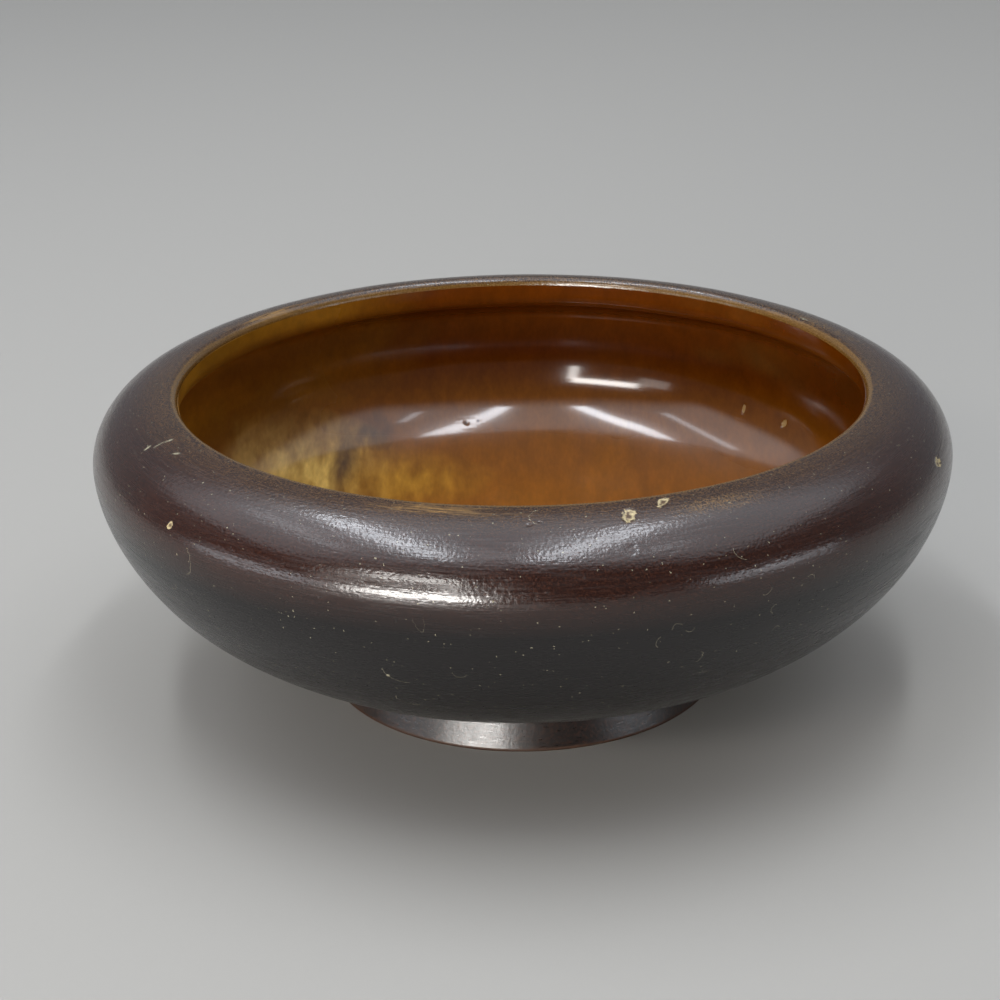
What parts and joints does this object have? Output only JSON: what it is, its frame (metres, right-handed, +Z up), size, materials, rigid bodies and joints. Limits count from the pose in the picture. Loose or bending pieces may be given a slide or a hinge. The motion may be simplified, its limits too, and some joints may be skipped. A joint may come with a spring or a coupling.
{
  "type": "serving bowl",
  "caption": "Low round turned wooden serving bowl with a rim rolled in over the mouth, standing on a flared foot ring, dark lacquer outside and amber lacquer inside.",
  "frame": {"origin": "centre of the foot's standing ring, on the surface that the bowl stands on", "axes": "+Z up along the turning axis; X and Y are free, because the bowl is round"},
  "size_m": [0.212, 0.212, 0.0787],
  "materials": {
    "turned_wood": "bare turned hardwood, seen only where the lacquer is chipped",
    "foot_wood": "bare turned hardwood, worn brown where it stands",
    "dark_lacquer": "dark brown lacquer, satin gloss with fine wiping marks and wear along the lip",
    "amber_lacquer": "clear amber lacquer over figured wood, glossy and slightly wavy",
    "dark_foot_lacquer": "dark brown lacquer, satin gloss, worn through at the standing edge",
    "dark_base_lacquer": "dark brown lacquer, duller than the outside"
  },
  "bodies": {
    "root": {"bowl_body": "turned_wood", "foot_ring": "foot_wood", "outer_lacquer": "dark_lacquer", "inner_lacquer": "amber_lacquer", "foot_lacquer": "dark_foot_lacquer", "base_lacquer": "dark_base_lacquer"}
  },
  "joints": []
}
